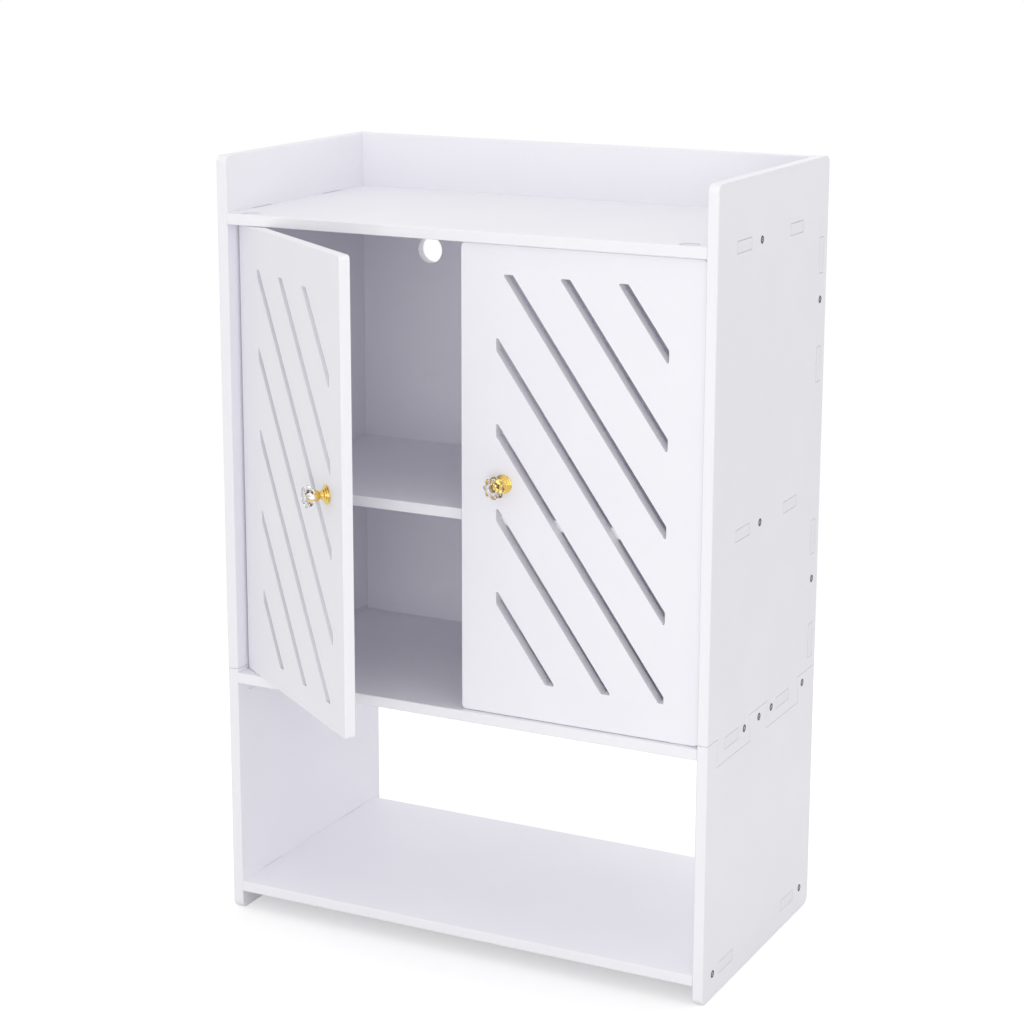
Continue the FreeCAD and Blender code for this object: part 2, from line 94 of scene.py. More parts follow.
def makeFoamBoard(name, thicknessAxis, window=None):
    # Extruded PVC foam board: a dense satin skin with faint orange peel, and router-cut edges that
    # show fine closed cells and the cutter's lines. The eye sees a soft wide sheen on the faces,
    # duller edges and no sharp arris. The cells are drawn coarser than the real 0.1 mm so that they show.
    material, tree, shader = newMaterial(name)
    place = addNode(tree, "ShaderNodeTexCoord")
    across = addNode(tree, "ShaderNodeVectorMath", {"operation": "DOT_PRODUCT"}, {1: thicknessAxis},
                     {0: place.outputs["Normal"]})
    facing = addNode(tree, "ShaderNodeMath", {"operation": "ABSOLUTE"}, links={0: across.outputs["Value"]})
    edge = addNode(tree, "ShaderNodeMapRange",
                   values={"From Min": foamBoard["faceOn"], "From Max": foamBoard["edgeOn"]},
                   links={"Value": facing.outputs[0]})
    cloud, peel, cutter = (
        addNode(tree, "ShaderNodeTexNoise", values={"Scale": 1 / (foamBoard[size] * mm), "Detail": detail},
                links={"Vector": place.outputs["Object"]})
        for size, detail in (("cloudMm", 3), ("peelMm", 2), ("cutterMm", 1)))
    cells = addNode(tree, "ShaderNodeTexVoronoi", values={"Scale": 1 / (foamBoard["cellMm"] * mm)},
                    links={"Vector": place.outputs["Object"]})
    skin = addNode(tree, "ShaderNodeMix", {"data_type": "RGBA"},
                   {6: hexColour(foamBoard["skin"]), 7: hexColour(foamBoard["skinCloud"])},
                   {0: cloud.outputs["Fac"]})
    colour = addNode(tree, "ShaderNodeMix", {"data_type": "RGBA"}, {7: hexColour(foamBoard["cutEdge"])},
                     {0: edge.outputs[0], 6: skin.outputs[2]})
    # painted shade: inside the rim, the left door's cut slot walls take the greyer slot colour
    if window:    # its Mapping takes the rim's inner outline to 1 on both axes
        onDoor = addNode(tree, "ShaderNodeMapping", {"vector_type": "TEXTURE"}, window,
                         {"Vector": place.outputs["Object"]})
        away = addNode(tree, "ShaderNodeVectorMath", {"operation": "ABSOLUTE"}, links={0: onDoor.outputs[0]})
        split = addNode(tree, "ShaderNodeSeparateXYZ", links={0: away.outputs[0]})
        furthest = addNode(tree, "ShaderNodeMath", {"operation": "MAXIMUM"},
                           links={0: split.outputs["X"], 1: split.outputs["Z"]})
        within = addNode(tree, "ShaderNodeMath", {"operation": "LESS_THAN"}, {1: 1}, {0: furthest.outputs[0]})
        slotShadeMask = addNode(tree, "ShaderNodeMath", {"operation": "MULTIPLY"},
                         links={0: within.outputs[0], 1: edge.outputs[0]})
        colour = addNode(tree, "ShaderNodeMix", {"data_type": "RGBA"}, {7: hexColour(foamBoard["paintedSlotShade"])},
                         {0: slotShadeMask.outputs[0], 6: colour.outputs[2]})
    low, high = foamBoard["roughness"]
    sheen = addNode(tree, "ShaderNodeMapRange", values={"To Min": low, "To Max": high},
                    links={"Value": cloud.outputs["Fac"]})
    roughness = addNode(tree, "ShaderNodeMix", {"data_type": "FLOAT"}, {3: foamBoard["edgeRoughness"]},
                        {0: edge.outputs[0], 2: sheen.outputs[0]})
    pits = addNode(tree, "ShaderNodeMath", {"operation": "MULTIPLY"},
                   links={0: cells.outputs["Distance"], 1: cutter.outputs["Fac"]})
    height = addNode(tree, "ShaderNodeMix", {"data_type": "FLOAT"},
                     links={0: edge.outputs[0], 2: peel.outputs["Fac"], 3: pits.outputs[0]})
    soft = addNode(tree, "ShaderNodeBevel", {"samples": foamBoard["softSamples"]},
                   {"Radius": foamBoard["softMm"] * mm})
    bump = addNode(tree, "ShaderNodeBump",
                   values={"Strength": foamBoard["bump"], "Distance": foamBoard["bumpMm"] * mm},
                   links={"Height": height.outputs[0], "Normal": soft.outputs[0]})
    tree.links.new(colour.outputs[2], shader.inputs["Base Color"])
    tree.links.new(roughness.outputs[0], shader.inputs["Roughness"])
    tree.links.new(bump.outputs[0], shader.inputs["Normal"])
    shader.inputs["IOR"].default_value = foamBoard["ior"]
    return material


def mottle(tree, shader, finish):    # one soft noise clouds the colour and the gloss together
    place = addNode(tree, "ShaderNodeTexCoord")
    cloud = addNode(tree, "ShaderNodeTexNoise",
                    values={"Scale": 1 / (finish["cloudMm"] * mm), "Detail": finish["detail"]},
                    links={"Vector": place.outputs["Object"]})
    colour = addNode(tree, "ShaderNodeMix", {"data_type": "RGBA"},
                     {6: hexColour(finish["colour"]), 7: hexColour(finish["deep"])},
                     {0: cloud.outputs["Fac"]})
    low, high = finish["roughness"]
    gloss = addNode(tree, "ShaderNodeMapRange", values={"To Min": low, "To Max": high},
                    links={"Value": cloud.outputs["Fac"]})
    tree.links.new(colour.outputs[2], shader.inputs["Base Color"])
    tree.links.new(gloss.outputs[0], shader.inputs["Roughness"])


bushNylon = {"colour": "#E9E9EC", "deep": "#DEDEE2", "cloudMm": 0.8, "detail": 2, "roughness": (0.3, 0.4),
             "ior": 1.53, "glow": 0.1, "glowMm": 1}


def makeBushNylon():
    # Injection-moulded nylon: a little glossier and greyer than the board, with a waxy glow
    material, tree, shader = newMaterial("mouldedNylon")
    mottle(tree, shader, bushNylon)
    shader.inputs["IOR"].default_value = bushNylon["ior"]
    shader.inputs["Subsurface Weight"].default_value = bushNylon["glow"]
    shader.inputs["Subsurface Radius"].default_value = [bushNylon["glowMm"] * mm] * 3
    return material


goldPlate = {"colour": "#EBCB77", "deep": "#DDB659", "cloudMm": 1.6, "detail": 3, "roughness": (0.08, 0.16)}


def makeGoldPlate():
    # Gold-coloured plating on turned metal: a bright mirror with warm depth in its grooves, and a
    # polish that is a little cloudy
    material, tree, shader = newMaterial("polishedGoldPlate")
    mottle(tree, shader, goldPlate)
    shader.inputs["Metallic"].default_value = 1
    return material


zincSteel = {"colour": "#D9DADF", "deep": "#B9BBC2", "cloudMm": 0.9, "detail": 3, "roughness": (0.36, 0.5),
             "metallic": 0.7}
# painted shade: the screw heads are coloured nearly black to stand in for the shadow in their countersinks
screwShadeFinish = {"colour": "#4E4C52", "deep": "#38363C", "cloudMm": 0.9, "detail": 3, "roughness": (0.34, 0.48),
             "metallic": 0.8}


def makeZincSteel(name, finish):
    # Zinc-plated steel under a thin passivation, which keeps it from mirroring like bare metal: pale and
    # cloudy on pins and bolts; on the screws nearly black, a painted shade for their countersinks, with pale
    # middles that are a painted highlight
    material, tree, shader = newMaterial(name)
    mottle(tree, shader, finish)
    shader.inputs["Metallic"].default_value = finish["metallic"]
    return material


knobCrystal = {"colour": "#FAFBFF", "waveMm": 5, "roughness": (0.0, 0.03), "ior": 1.54}


def makeKnobCrystal():
    # Pressed clear crystal, fire-polished: sharp bright edges, dark lines where it bends the light,
    # and the gold of its ferrule drawn into the petals
    material, tree, shader = newMaterial("pressedCrystal")
    place = addNode(tree, "ShaderNodeTexCoord")
    wave = addNode(tree, "ShaderNodeTexNoise",
                   values={"Scale": 1 / (knobCrystal["waveMm"] * mm), "Detail": 1},
                   links={"Vector": place.outputs["Object"]})
    low, high = knobCrystal["roughness"]
    gloss = addNode(tree, "ShaderNodeMapRange", values={"To Min": low, "To Max": high},
                    links={"Value": wave.outputs["Fac"]})
    tree.links.new(gloss.outputs[0], shader.inputs["Roughness"])
    shader.inputs["Base Color"].default_value = hexColour(knobCrystal["colour"])
    shader.inputs["IOR"].default_value = knobCrystal["ior"]
    shader.inputs["Transmission Weight"].default_value = 1
    return material


# Doors as they stand at rest: degrees turned, and metres, those across the door counted from its pivot

doorPose = {
    "left": {"pivot": (-0.211, -0.240), "turn": -36, "knobAcross": 0.1755,
             "middle": 0.0964, "halfWidth": 0.1144},    # for the painted shade in its slots
    "right": {"pivot": (0.211, -0.240), "turn": 0, "knobAcross": -0.1675},
}

leftTurn = math.radians(doorPose["left"]["turn"])
boardAxis = {    # the way each board's thickness runs
    "side_upper_left": "X", "side_lower_left": "X", "side_upper_right": "X", "side_lower_right": "X",
    "top_board": "Z", "middle_shelf": "Z", "cabinet_floor": "Z", "bottom_shelf": "Z",
    "back_panel": "Y", "door_right": "Y", "door_left": "leftDoor",
}
axisVector = {"X": (1, 0, 0), "Y": (0, 1, 0), "Z": (0, 0, 1),
              "leftDoor": (-math.sin(leftTurn), math.cos(leftTurn), 0)}


def doorWindow(side):
    door = doorPose[side]
    rim = foamBoard["rimMm"] * mm
    low, high = (corner[2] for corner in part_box("door_" + side))
    turn = Matrix.Rotation(math.radians(door["turn"]), 3, "Z")
    middle = Vector((*door["pivot"], (low + high) / 2)) + turn @ Vector((door["middle"], 0, 0))
    return {"Location": middle, "Rotation": turn.to_euler(),
            "Scale": (door["halfWidth"] - rim, 1, (high - low) / 2 - rim)}


windows = {"leftDoor": doorWindow("left")}
foamMaterials = {axis: makeFoamBoard("pvcFoamBoard" + axis[0].upper() + axis[1:], vector, windows.get(axis))
                 for axis, vector in axisVector.items()}
nylon = makeBushNylon()
gold = makeGoldPlate()
steel = makeZincSteel("zincPlatedSteel", zincSteel)
shadedScrewSteel = makeZincSteel("screwSteelPaintedShade", screwShadeFinish)
crystal = makeKnobCrystal()


def dress(node, material):
    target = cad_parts[node]
    target.data.materials.clear()
    target.data.materials.append(material)


for node, axis in boardAxis.items():
    dress(node, foamMaterials[axis])
for end in ("top", "bottom"):
    for side in doorPose:
        dress("pivot_bush_%s_%s" % (end, side), nylon)
for side in doorPose:
    dress("pivot_pins_" + side, steel)
    dress("knob_bolt_" + side, steel)
print("materials made:", len(bpy.data.materials))


# Screws in the side walls, in millimetres

screws = {
    "headRadius": 3.4, "headDepth": 1.9, "shankRadius": 1.5, "length": 30, "point": 4,
    "recessSpan": 3.8, "recessWidth": 0.7, "recessDepth": 1.1, "highlightRadius": 1.8, "seed": 7,
    "headSides": 32, "headRings": 6, "shankSides": 16,
    "face": 240, "frontEdge": -250, "feet": -603,    # outer face, and where depths and heights start
    "spots": ((98, 656), (109, 408.5), (84, 228.5), (149, 228.5), (245, 324), (245, 584),
              (119, 228.5), (228, 228.5), (22, 22.5), (236.6, 22.5)),    # depth, height
}


def addInputs(tree, inputs):
    sockets = {}
    for name, kind in {"Geometry": "Geometry", **inputs}.items():
        sockets[name] = tree.interface.new_socket(name, in_out="INPUT", socket_type="NodeSocket" + kind)
    tree.interface.new_socket("Geometry", in_out="OUTPUT", socket_type="NodeSocketGeometry")
    return sockets


def screwTree():
    tree = bpy.data.node_groups.new("crossRecessScrews", "GeometryNodeTree")
    sockets = addInputs(tree, {
        "Head Radius": "Float", "Head Depth": "Float", "Shank Radius": "Float", "Length": "Float",
        "Point": "Float", "Recess Span": "Float", "Recess Width": "Float", "Recess Depth": "Float",
        "Highlight Radius": "Float", "Seed": "Int", "Material": "Material", "Highlight Material": "Material"})
    given = addNode(tree, "NodeGroupInput").outputs
    head = addNode(tree, "GeometryNodeMeshCone",
                   values={"Vertices": screws["headSides"], "Fill Segments": screws["headRings"]},
                   links={"Radius Top": given["Head Radius"], "Radius Bottom": given["Shank Radius"],
                          "Depth": given["Head Depth"]})
    sunk = addNode(tree, "ShaderNodeMath", {"operation": "MULTIPLY"}, {1: -1}, {0: given["Head Depth"]})
    headDown = addNode(tree, "ShaderNodeCombineXYZ", links={"Z": sunk.outputs[0]})
    headSet = addNode(tree, "GeometryNodeTransform", links={
        "Geometry": head.outputs["Mesh"], "Translation": headDown.outputs[0]})
    twice = addNode(tree, "ShaderNodeMath", {"operation": "MULTIPLY"}, {1: 2}, {0: given["Recess Depth"]})
    alongSize = addNode(tree, "ShaderNodeCombineXYZ", links={
        "X": given["Recess Span"], "Y": given["Recess Width"], "Z": twice.outputs[0]})
    acrossSize = addNode(tree, "ShaderNodeCombineXYZ", links={
        "X": given["Recess Width"], "Y": given["Recess Span"], "Z": twice.outputs[0]})
    along = addNode(tree, "GeometryNodeMeshCube", links={"Size": alongSize.outputs[0]})
    across = addNode(tree, "GeometryNodeMeshCube", links={"Size": acrossSize.outputs[0]})
    cross = addNode(tree, "GeometryNodeMeshBoolean", {"operation": "UNION", "solver": "EXACT"})
    tree.links.new(along.outputs["Mesh"], cross.inputs["Mesh 2"])
    tree.links.new(across.outputs["Mesh"], cross.inputs["Mesh 2"])
    recessed = addNode(tree, "GeometryNodeMeshBoolean", {"operation": "DIFFERENCE", "solver": "EXACT"},
                       links={"Mesh 1": headSet.outputs[0], "Mesh 2": cross.outputs["Mesh"]})
    position = addNode(tree, "GeometryNodeInputPosition")
    flat = addNode(tree, "ShaderNodeVectorMath", {"operation": "MULTIPLY"}, {1: (1, 1, 0)},
                   {0: position.outputs[0]})
    fromAxis = addNode(tree, "ShaderNodeVectorMath", {"operation": "LENGTH"}, links={0: flat.outputs[0]})
    # painted highlight: faces of a screw head within this radius of its axis are marked for the pale steel
    highlightSpot = addNode(tree, "FunctionNodeCompare", {"data_type": "FLOAT", "operation": "LESS_THAN"},
                     links={0: fromAxis.outputs["Value"], 1: given["Highlight Radius"]})
    headMarked = addNode(tree, "GeometryNodeStoreNamedAttribute", {"data_type": "BOOLEAN", "domain": "FACE"},
                         {"Name": "paintedHighlight"}, {"Geometry": recessed.outputs["Mesh"], "Value": highlightSpot.outputs[0]})
    shankDepth = addNode(tree, "ShaderNodeMath", {"operation": "SUBTRACT"},
                         links={0: given["Length"], 1: given["Point"]})
    bare = addNode(tree, "ShaderNodeMath", {"operation": "SUBTRACT"},
                   links={0: shankDepth.outputs[0], 1: given["Head Depth"]})
    shank = addNode(tree, "GeometryNodeMeshCylinder", values={"Vertices": screws["shankSides"]}, links={
        "Radius": given["Shank Radius"], "Depth": bare.outputs[0]})
    middle = addNode(tree, "ShaderNodeMath", {"operation": "MULTIPLY_ADD"}, {1: -0.5},
                     {0: bare.outputs[0], 2: sunk.outputs[0]})    # a cylinder is placed by its middle
    shankDown = addNode(tree, "ShaderNodeCombineXYZ", links={"Z": middle.outputs[0]})
    shankSet = addNode(tree, "GeometryNodeTransform", links={
        "Geometry": shank.outputs["Mesh"], "Translation": shankDown.outputs[0]})
    tip = addNode(tree, "GeometryNodeMeshCone",
                  values={"Vertices": screws["shankSides"], "Radius Bottom": 0},
                  links={"Radius Top": given["Shank Radius"], "Depth": given["Point"]})
    end = addNode(tree, "ShaderNodeMath", {"operation": "MULTIPLY"}, {1: -1}, {0: given["Length"]})
    tipDown = addNode(tree, "ShaderNodeCombineXYZ", links={"Z": end.outputs[0]})
    tipSet = addNode(tree, "GeometryNodeTransform", links={
        "Geometry": tip.outputs["Mesh"], "Translation": tipDown.outputs[0]})
    whole = addNode(tree, "GeometryNodeJoinGeometry")
    for part in (tipSet.outputs[0], shankSet.outputs[0], headMarked.outputs[0]):
        tree.links.new(part, whole.inputs[0])
    outward = addNode(tree, "GeometryNodeInputNamedAttribute", {"data_type": "FLOAT_VECTOR"},
                      {"Name": "outward"})
    aimed = addNode(tree, "FunctionNodeAlignRotationToVector", {"axis": "Z"},
                    links={"Vector": outward.outputs["Attribute"]})
    spin = addNode(tree, "FunctionNodeRandomValue", {"data_type": "FLOAT"}, {3: math.pi},
                   {"Seed": given["Seed"]})    # each recess was left at its own angle
    turned = addNode(tree, "FunctionNodeAxisAngleToRotation", values={"Axis": (0, 0, 1)},
                     links={"Angle": spin.outputs[1]})
    driven = addNode(tree, "FunctionNodeRotateRotation", {"rotation_space": "LOCAL"}, links={
        "Rotation": aimed.outputs[0], "Rotate By": turned.outputs[0]})
    placed = addNode(tree, "GeometryNodeInstanceOnPoints", links={
        "Points": given["Geometry"], "Instance": whole.outputs[0], "Rotation": driven.outputs[0]})
    real = addNode(tree, "GeometryNodeRealizeInstances", links={"Geometry": placed.outputs[0]})
    coated = addNode(tree, "GeometryNodeSetMaterial", links={
        "Geometry": real.outputs[0], "Material": given["Material"]})
    paintedHighlight = addNode(tree, "GeometryNodeInputNamedAttribute", {"data_type": "BOOLEAN"}, {"Name": "paintedHighlight"})
    # painted highlight: the marked middles of the screw heads take the pale steel
    highlightedHeads = addNode(tree, "GeometryNodeSetMaterial", links={
        "Geometry": coated.outputs[0], "Selection": paintedHighlight.outputs["Attribute"],
        "Material": given["Highlight Material"]})
    addNode(tree, "NodeGroupOutput", links={"Geometry": highlightedHeads.outputs[0]})
    return tree, sockets


def applyTree(piece, tree, sockets, values):
    modifier = piece.modifiers.new(tree.name, "NODES")
    modifier.node_group = tree
    for name, value in values.items():
        modifier[sockets[name].identifier] = value
    graph = bpy.context.evaluated_depsgraph_get()
    mesh = bpy.data.meshes.new_from_object(piece.evaluated_get(graph))
    piece.modifiers.remove(modifier)
    piece.data = mesh


def makeScrews():
    points = []
    outward = []
    for sign in (-1, 1):
        for depth, height in screws["spots"]:
            points.append((sign * screws["face"] * mm, (depth + screws["frontEdge"]) * mm,
                           (height + screws["feet"]) * mm))
            outward.append((sign, 0, 0))
    mesh = bpy.data.meshes.new("screwSpots")
    mesh.from_pydata(points, [], [])
    direction = mesh.attributes.new("outward", "FLOAT_VECTOR", "POINT")
    direction.data.foreach_set("vector", [number for vector in outward for number in vector])
    piece = bpy.data.objects.new("panelScrewHeads", mesh)
    bpy.context.scene.collection.objects.link(piece)
    tree, sockets = screwTree()
    # the heads get a painted shade from their dark finish and a painted highlight in their pale middles
    applyTree(piece, tree, sockets, {
        "Head Radius": screws["headRadius"] * mm, "Head Depth": screws["headDepth"] * mm,
        "Shank Radius": screws["shankRadius"] * mm, "Length": screws["length"] * mm,
        "Point": screws["point"] * mm, "Recess Span": screws["recessSpan"] * mm,
        "Recess Width": screws["recessWidth"] * mm, "Recess Depth": screws["recessDepth"] * mm,
        "Highlight Radius": screws["highlightRadius"] * mm, "Seed": screws["seed"],
        "Material": shadedScrewSteel, "Highlight Material": steel})
    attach(piece, "carcass")
    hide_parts("panel_screws")
    print("screws made:", len(piece.data.polygons), "faces")


makeScrews()


# Knobs: profiles of radius and distance out from the door's front, in millimetres

knob = {
    "height": -0.1601, "doorFront": -0.005,    # metres, in the frame and from the pivot
    "segments": 128, "weldMm": 0.0001,
    "flutes": 8, "bite": 0.14, "pinch": 0.2, "middle": 17.2,    # flutes narrow the petals about their middle
    "seatRadius": 5.5, "glued": ((12.5, 15.0), (17.4, 17.6)),    # where gold shows through the glue
    "rosette": ((2.2, 0), (8.1, 0), (8.4, 0.25), (8.4, 0.7), (8.1, 1.0), (7.6, 1.1), (7.2, 1.1), (6.95, 1.4),
                (6.8, 1.9), (6.4, 2.25), (5.9, 2.35), (5.6, 2.4), (5.35, 2.75), (5.2, 3.2), (4.8, 3.55),
                (4.4, 3.65), (4.15, 3.75), (3.9, 4.05), (3.7, 4.4), (3.3, 4.75), (3.05, 5.2), (3.0, 5.8),
                (3.0, 6.4), (2.2, 6.4)),
    "ferrule": ((0, 14.8), (2.2, 14.8), (2.2, 6.4), (3.0, 6.4), (3.25, 6.55), (3.25, 6.8), (3.1, 7.0),
                (3.6, 7.5), (4.4, 8.2), (5.0, 9.0), (5.3, 9.9), (5.5, 10.8), (5.6, 11.6), (5.6, 12.1),
                (5.4, 12.5), (2.9, 12.5), (2.8, 14.9), (2.4, 15.2), (2.4, 17.2), (2.2, 17.4), (0, 17.4)),
    "crystal": ((0, 17.5, 0), (2.3, 17.5, 0), (2.5, 17.25, 0), (2.5, 15.25, 0), (2.9, 14.95, 0),
                (3.0, 12.6, 0), (5.5, 12.6, 0.2), (7.2, 13.2, 0.6), (8.7, 14.1, 0.9), (9.8, 15.3, 1),
                (10.2, 16.6, 1), (10.2, 17.8, 1), (9.8, 19.0, 1), (8.7, 20.1, 0.95), (7.5, 20.9, 0.85),
                (6.2, 21.4, 0.7), (5.0, 21.2, 0.5), (4.1, 20.5, 0.25), (3.6, 20.1, 0), (3.3, 20.6, 0),
                (2.9, 21.4, 0), (2.1, 22.0, 0), (1.1, 22.3, 0),
                (0, 22.4, 0)),    # the third number is how deep the flutes run there
}


def lathe(profile, closed):    # a closed profile makes a ring, an open one ends on the axis
    shape = bmesh.new()
    segments = knob["segments"]
    weight = shape.verts.layers.float.new("fluteDepth")
    rings = []
    for radius, out, *depth in profile:
        ring = []
        for step in range(segments):
            angle = 2 * math.pi * step / segments
            vert = shape.verts.new((radius * mm * math.cos(angle), radius * mm * math.sin(angle), out * mm))
            vert[weight] = depth[0] if depth else 0
            ring.append(vert)
        rings.append(ring)
    pairs = list(zip(rings, rings[1:])) + ([(rings[-1], rings[0])] if closed else [])
    for low, high in pairs:
        for step in range(segments):
            following = (step + 1) % segments
            shape.faces.new((low[step], low[following], high[following], high[step]))
    bmesh.ops.remove_doubles(shape, verts=shape.verts, dist=knob["weldMm"] * mm)    # closes the poles
    bmesh.ops.recalc_face_normals(shape, faces=shape.faces)
    for face in shape.faces:
        face.smooth = True
    mesh = bpy.data.meshes.new("turned")
    shape.to_mesh(mesh)
    shape.free()
    return mesh


def fluteTree():
    tree = bpy.data.node_groups.new("crystalFlutes", "GeometryNodeTree")
    sockets = addInputs(tree, {"Flutes": "Float", "Bite": "Float", "Pinch": "Float", "Middle": "Float",
                               "Material": "Material"})
    given = addNode(tree, "NodeGroupInput").outputs
    position = addNode(tree, "GeometryNodeInputPosition")
    split = addNode(tree, "ShaderNodeSeparateXYZ", links={0: position.outputs[0]})
    angle = addNode(tree, "ShaderNodeMath", {"operation": "ARCTAN2"},
                    links={0: split.outputs["Y"], 1: split.outputs["X"]})
    half = addNode(tree, "ShaderNodeMath", {"operation": "MULTIPLY"}, {1: 0.5}, {0: given["Flutes"]})
    phase = addNode(tree, "ShaderNodeMath", {"operation": "MULTIPLY"},
                    links={0: angle.outputs[0], 1: half.outputs[0]})
    wave = addNode(tree, "ShaderNodeMath", {"operation": "COSINE"}, links={0: phase.outputs[0]})
    petal = addNode(tree, "ShaderNodeMath", {"operation": "ABSOLUTE"}, links={0: wave.outputs[0]})
    valley = addNode(tree, "ShaderNodeMath", {"operation": "SUBTRACT"}, {0: 1},
                     {1: petal.outputs[0]})    # 0 on a petal's crest, 1 in the groove between two
    weight = addNode(tree, "GeometryNodeInputNamedAttribute", {"data_type": "FLOAT"}, {"Name": "fluteDepth"})
    depth = addNode(tree, "ShaderNodeMath", {"operation": "MULTIPLY"},
                    links={0: weight.outputs["Attribute"], 1: valley.outputs[0]})
    amounts = addNode(tree, "ShaderNodeCombineXYZ", links={
        "X": given["Bite"], "Y": given["Bite"], "Z": given["Pinch"]})
    cut = addNode(tree, "ShaderNodeVectorMath", {"operation": "SCALE"},
                  links={0: amounts.outputs[0], "Scale": depth.outputs[0]})
    keep = addNode(tree, "ShaderNodeVectorMath", {"operation": "SUBTRACT"}, {0: (1, 1, 1)},
                   {1: cut.outputs[0]})
    centre = addNode(tree, "ShaderNodeCombineXYZ", links={"Z": given["Middle"]})
    inside = addNode(tree, "ShaderNodeVectorMath", {"operation": "SUBTRACT"},
                     links={0: position.outputs[0], 1: centre.outputs[0]})
    moved = addNode(tree, "ShaderNodeVectorMath", {"operation": "MULTIPLY_ADD"},
                    links={0: inside.outputs[0], 1: keep.outputs[0], 2: centre.outputs[0]})
    shaped = addNode(tree, "GeometryNodeSetPosition", links={
        "Geometry": given["Geometry"], "Position": moved.outputs[0]})
    real = addNode(tree, "GeometryNodeRealizeInstances", links={"Geometry": shaped.outputs[0]})
    coated = addNode(tree, "GeometryNodeSetMaterial", links={
        "Geometry": real.outputs[0], "Material": given["Material"]})
    addNode(tree, "NodeGroupOutput", links={"Geometry": coated.outputs[0]})
    return tree, sockets


def knobPlace(side):
    door = doorPose[side]
    pivot = Matrix.Translation((*door["pivot"], knob["height"]))
    turn = Matrix.Rotation(math.radians(door["turn"]), 4, "Z")
    seat = Matrix.Translation((door["knobAcross"], knob["doorFront"], 0))
    outwards = Matrix.Rotation(math.radians(90), 4, "X")    # the turned axis points out of the door
    return pivot @ turn @ seat @ outwards


def gildSeat(mesh):
    mesh.materials.append(gold)
    for face in mesh.polygons:
        middle = face.center
        glued = any(low * mm < middle.z < high * mm for low, high in knob["glued"])
        if glued and middle.xy.length < knob["seatRadius"] * mm:
            face.material_index = 1


def finishKnobPiece(piece, side, node):
    piece.data.transform(knobPlace(side))
    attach(piece, side + "_door")
    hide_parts(node)


def makeKnobs():
    tree, sockets = fluteTree()
    for side in doorPose:
        for part, name, closed in (("rosette", "knobRosette", True), ("ferrule", "knobFerrule", False)):
            piece = bpy.data.objects.new(name + side.capitalize(), lathe(knob[part], closed))
            bpy.context.scene.collection.objects.link(piece)
            piece.data.materials.append(gold)
            finishKnobPiece(piece, side, "knob_%s_%s" % (part, side))
        piece = bpy.data.objects.new("knobCrystal" + side.capitalize(), lathe(knob["crystal"], False))
        bpy.context.scene.collection.objects.link(piece)
        applyTree(piece, tree, sockets, {
            "Flutes": knob["flutes"], "Bite": knob["bite"], "Pinch": knob["pinch"],
            "Middle": knob["middle"] * mm, "Material": crystal})
        gildSeat(piece.data)
        finishKnobPiece(piece, side, "knob_crystal_" + side)
    print("knobs made")


makeKnobs()


# Studio

studio = {
    "floorColour": "#DADADA", "floorHalf": 6, "floorDrop": 0.2 * mm, "floorGlow": 0.4,
    "whiteFrom": 0.5, "whiteAt": 1.0,    # the floor fades to white between these distances
    "worldLight": 0.88, "bounces": 12,    # white boards pass light on more often than the usual four times
    "lamps": {
        "keyLamp": {"at": (0.9, -2.5, 0.45), "size": 1.6, "watts": 9.5},
        "rearLamp": {"at": (0, 1.4, 0.1), "size": 0.9, "watts": 5},
        "frontLamp": {"at": (0.8, -2.4, -0.5), "size": 0.9, "watts": 10},
        "topLamp": {"at": (0.2, -0.5, 2.1), "size": 1.4, "watts": 4},
    },
    "aim": (0, -0.12, -0.25),
    "cards": {
        "leftCard": {"at": (-0.9, -0.7, -0.1), "size": (0.7, 1.2)},
        "rightCard": {"at": (0.75, -0.95, -0.3), "size": (0.16, 0.9)},
    },
    "cardColour": "#0E0B08", "cardAim": (0, -0.3, -0.16),
}


def seenDirectly(tree):
    rays = addNode(tree, "ShaderNodeLightPath")
    seen = addNode(tree, "ShaderNodeMath", {"operation": "MAXIMUM"},
                   links={0: rays.outputs["Is Camera Ray"], 1: rays.outputs["Is Glossy Ray"]})
    return addNode(tree, "ShaderNodeMath", {"operation": "MAXIMUM"},
                   links={0: seen.outputs[0], 1: rays.outputs["Is Transmission Ray"]})


def flatPanel(name, halfWide, halfLong, place):
    mesh = bpy.data.meshes.new(name)
    mesh.from_pydata([(-halfWide, -halfLong, 0), (halfWide, -halfLong, 0), (halfWide, halfLong, 0),
                      (-halfWide, halfLong, 0)], [], [(0, 1, 2, 3)])
    mesh.transform(place)
    return mesh


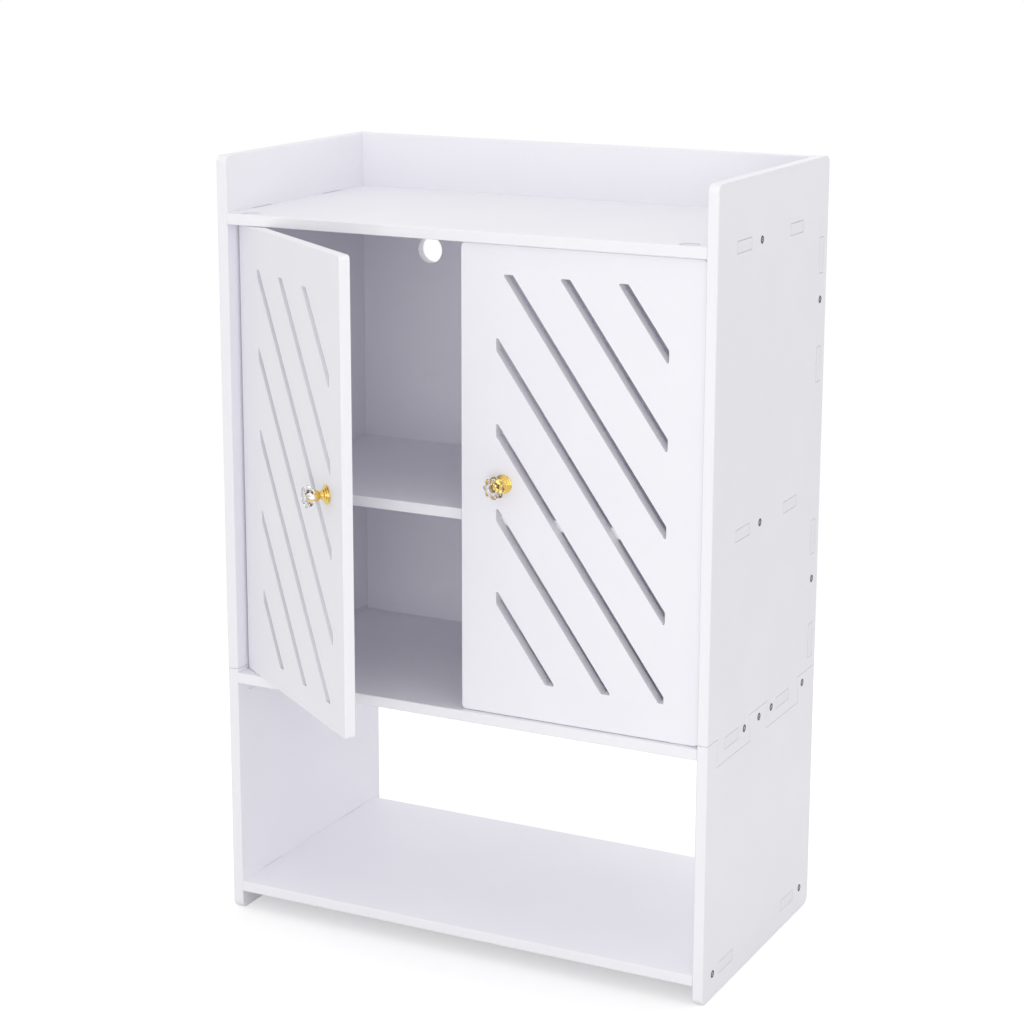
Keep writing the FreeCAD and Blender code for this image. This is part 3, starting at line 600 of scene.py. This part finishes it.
def makeFloor():
    half = studio["floorHalf"]
    low = cadBox[0][2] - studio["floorDrop"]
    mesh = flatPanel("studioFloor", half, half, Matrix.Translation((0, 0, low)))
    floor = bpy.data.objects.new("studioFloor", mesh)
    bpy.context.scene.collection.objects.link(floor)
    material, tree, shader = newMaterial("paleStudioFloor")
    tree.nodes.remove(shader)
    pale = addNode(tree, "ShaderNodeBsdfDiffuse", values={"Color": hexColour(studio["floorColour"])})
    seen = seenDirectly(tree)
    glow = addNode(tree, "ShaderNodeMath", {"operation": "MULTIPLY"}, {1: studio["floorGlow"]},
                   {0: seen.outputs[0]})
    lit = addNode(tree, "ShaderNodeEmission", links={"Strength": glow.outputs[0]})
    near = addNode(tree, "ShaderNodeAddShader", links={0: pale.outputs[0], 1: lit.outputs[0]})
    place = addNode(tree, "ShaderNodeTexCoord")
    flat = addNode(tree, "ShaderNodeVectorMath", {"operation": "MULTIPLY"}, {1: (1, 1, 0)},
                   {0: place.outputs["Object"]})
    away = addNode(tree, "ShaderNodeVectorMath", {"operation": "LENGTH"}, links={0: flat.outputs[0]})
    fade = addNode(tree, "ShaderNodeMapRange", {"interpolation_type": "SMOOTHSTEP"},
                   {"From Min": studio["whiteFrom"], "From Max": studio["whiteAt"]},
                   {"Value": away.outputs["Value"]})
    share = addNode(tree, "ShaderNodeMath", {"operation": "MULTIPLY"},
                    links={0: fade.outputs[0], 1: seen.outputs[0]})
    white = addNode(tree, "ShaderNodeEmission")
    both = addNode(tree, "ShaderNodeMixShader", links={
        0: share.outputs[0], 1: near.outputs[0], 2: white.outputs[0]})
    below = addNode(tree, "ShaderNodeNewGeometry")
    clear = addNode(tree, "ShaderNodeBsdfTransparent")
    oneWay = addNode(tree, "ShaderNodeMixShader", links={    # a view from below sees through the floor
        0: below.outputs["Backfacing"], 1: both.outputs[0], 2: clear.outputs[0]})
    tree.links.new(oneWay.outputs[0], tree.nodes["Material Output"].inputs["Surface"])
    mesh.materials.append(material)


def makeCards():
    # dark cards that only reflections and refractions see, for the lines in the gold and the crystal
    material, _, shader = newMaterial("darkCard")
    shader.inputs["Base Color"].default_value = hexColour(studio["cardColour"])
    shader.inputs["Roughness"].default_value = 1
    for name, card in studio["cards"].items():
        wide, high = card["size"]
        aim = Vector(studio["cardAim"]) - Vector(card["at"])
        turn = aim.to_track_quat("Z", "Y").to_matrix().to_4x4()
        mesh = flatPanel(name, wide / 2, high / 2, Matrix.Translation(card["at"]) @ turn)
        mesh.materials.append(material)
        piece = bpy.data.objects.new(name, mesh)
        bpy.context.scene.collection.objects.link(piece)
        piece.visible_camera = False
        piece.visible_diffuse = False
        piece.visible_shadow = False


def makeWorld():
    world = bpy.data.worlds.new("studioWorld")
    bpy.context.scene.world = world
    world.use_nodes = True
    tree = world.node_tree
    background = tree.nodes["Background"]
    seen = seenDirectly(tree)
    strength = addNode(tree, "ShaderNodeMapRange", values={"To Min": studio["worldLight"], "To Max": 1},
                       links={"Value": seen.outputs[0]})
    background.inputs["Color"].default_value = (1, 1, 1, 1)
    tree.links.new(strength.outputs[0], background.inputs["Strength"])


def makeLamps():
    for name, lamp in studio["lamps"].items():
        light = bpy.data.lights.new(name, "AREA")
        light.shape = "DISK"
        light.size = lamp["size"]
        light.energy = lamp["watts"]
        holder = bpy.data.objects.new(name, light)
        bpy.context.scene.collection.objects.link(holder)
        holder.location = lamp["at"]
        holder.rotation_euler = (Vector(studio["aim"]) - holder.location).to_track_quat("-Z", "Y").to_euler()


camera = {
    "lens": 86.96, "sensor": 36, "shiftY": -0.05,
    "at": (0.9851, -2.0893, 0.3393), "yaw": 26.839, "pitch": 13.017, "roll": 0.133,    # pitch is down
}


def makeCamera():
    data = bpy.data.cameras.new("photoCamera")
    data.lens = camera["lens"]
    data.sensor_width = camera["sensor"]
    data.shift_y = camera["shiftY"]
    holder = bpy.data.objects.new("photoCamera", data)
    bpy.context.scene.collection.objects.link(holder)
    yaw, pitch, roll = (math.radians(camera[name]) for name in ("yaw", "pitch", "roll"))
    level = Vector((-math.sin(yaw), math.cos(yaw), 0))
    ahead = level * math.cos(pitch) - Vector((0, 0, math.sin(pitch)))
    right = Vector((math.cos(yaw), math.sin(yaw), 0))
    up = right.cross(ahead)
    tilted = right * math.cos(roll) + up * math.sin(roll)
    over = up * math.cos(roll) - right * math.sin(roll)
    turn = Matrix((tilted, over, -ahead)).transposed().to_4x4()
    holder.matrix_world = Matrix.Translation(camera["at"]) @ turn
    bpy.context.scene.camera = holder


makeFloor()
makeCards()
makeWorld()
makeLamps()
makeCamera()
bpy.context.scene.view_settings.view_transform = "Standard"
bpy.context.scene.cycles.diffuse_bounces = studio["bounces"]
print("studio ready")
